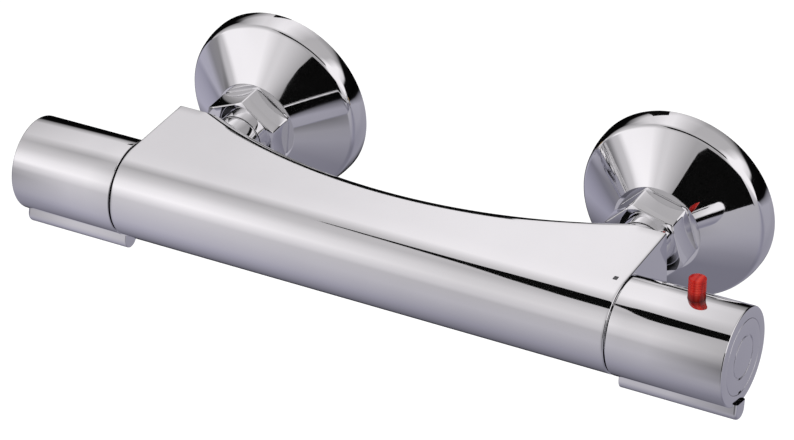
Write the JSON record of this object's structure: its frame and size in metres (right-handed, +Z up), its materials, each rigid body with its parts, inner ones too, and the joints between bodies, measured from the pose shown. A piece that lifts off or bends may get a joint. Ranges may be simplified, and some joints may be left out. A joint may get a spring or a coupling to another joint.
{
  "type": "thermostatic_shower_valve",
  "caption": "Chrome wall-mounted thermostatic shower bar valve with temperature and flow knobs, red safety button, waisted deck, unions and conical rosettes",
  "frame": {"origin": "on the finished wall, midway between the two inlets and level with the bar's axis", "axes": "+X along the bar to the temperature knob, +Y into the wall, +Z up"},
  "size_m": [0.2588, 0.101, 0.0654],
  "materials": {
    "polished_chrome": "polished",
    "machined_brass": "machined",
    "copper_sensor": "satin",
    "spring_steel": "drawn",
    "black_rubber": "matt",
    "moulded_plastic": "moulded",
    "alumina_ceramic": "lapped ceramic",
    "red_button": "clear red moulding",
    "mark_fill": "filled mark"
  },
  "bodies": {
    "valve": {"valve_body": "polished_chrome", "index_mark": "mark_fill", "inlet_tail_hot": "polished_chrome", "inlet_tail_cold": "polished_chrome", "inlet_tail_seals": "black_rubber", "union_nut_hot": "polished_chrome", "union_nut_cold": "polished_chrome", "union_washers": "black_rubber", "eccentric_union_hot": "machined_brass", "eccentric_union_cold": "machined_brass", "rosette_hot": "polished_chrome", "rosette_cold": "polished_chrome", "check_valve_cage_hot": "moulded_plastic", "check_valve_cage_cold": "moulded_plastic", "check_spring_hot": "spring_steel", "check_spring_cold": "spring_steel", "thermostat_housing": "machined_brass", "thermostat_locknut": "machined_brass", "thermostat_end_cap": "moulded_plastic", "thermostat_o_rings": "black_rubber", "thermostat_strainers": "spring_steel", "return_spring": "spring_steel", "temperature_stop_ring": "moulded_plastic", "flow_headwork": "machined_brass", "flow_headwork_o_ring": "black_rubber", "flow_seal": "black_rubber", "flow_fixed_disc": "alumina_ceramic", "flow_stop_ring": "moulded_plastic"},
    "temperature_knob": {"thermostat_spindle": "machined_brass", "thermostat_spindle_o_ring": "black_rubber", "temperature_adapter": "moulded_plastic", "temperature_knob": "polished_chrome", "temperature_knob_screw": "spring_steel", "temperature_knob_cap": "polished_chrome", "override_spring": "spring_steel"},
    "override_button": {"override_button": "red_button"},
    "shuttle": {"regulating_nut": "machined_brass", "overload_spring": "spring_steel", "overload_cup": "machined_brass", "wax_element": "copper_sensor", "mixing_shuttle": "moulded_plastic"},
    "flow_knob": {"flow_moving_disc": "alumina_ceramic", "flow_spindle": "machined_brass", "flow_spindle_o_rings": "black_rubber", "flow_circlip": "spring_steel", "flow_adapter": "moulded_plastic", "flow_knob": "polished_chrome", "flow_knob_screw": "spring_steel", "flow_knob_cap": "polished_chrome"},
    "check_poppet_hot": {"check_poppet_hot": "moulded_plastic"},
    "check_poppet_cold": {"check_poppet_cold": "moulded_plastic"}
  },
  "joints": [
    {"name": "temperature_turn", "type": "hinge", "parent": "valve", "child": "temperature_knob", "pos_m": [0.109, -0.0701, 0], "axis": [1, 0, 0], "range_deg": [-190, 70]},
    {"name": "override_press", "type": "slide", "parent": "temperature_knob", "child": "override_button", "axis": [0, -0.1132, -0.9936], "range_m": [0, 0.002], "stiffness_N_per_m": 900, "springref_m": -0.0015, "deforming": ["override_spring"]},
    {"name": "shuttle_slide", "type": "slide", "parent": "valve", "child": "shuttle", "axis": [1, 0, 0], "range_m": [-0.0009, 0.0004], "deforming": ["return_spring"]},
    {"name": "flow_turn", "type": "hinge", "parent": "valve", "child": "flow_knob", "pos_m": [-0.109, -0.0701, 0], "axis": [-1, 0, 0], "range_deg": [0, 90]},
    {"name": "hot_check_slide", "type": "slide", "parent": "valve", "child": "check_poppet_hot", "axis": [0, -1, 0], "range_m": [0, 0.0022], "stiffness_N_per_m": 150, "springref_m": -0.001, "deforming": ["check_spring_hot"]},
    {"name": "cold_check_slide", "type": "slide", "parent": "valve", "child": "check_poppet_cold", "axis": [0, -1, 0], "range_m": [0, 0.0022], "stiffness_N_per_m": 150, "springref_m": -0.001, "deforming": ["check_spring_cold"]}
  ],
  "couplings": [
    {"joint": "shuttle_slide", "follows": "temperature_turn", "m_per_rad": 0.00023873}
  ]
}
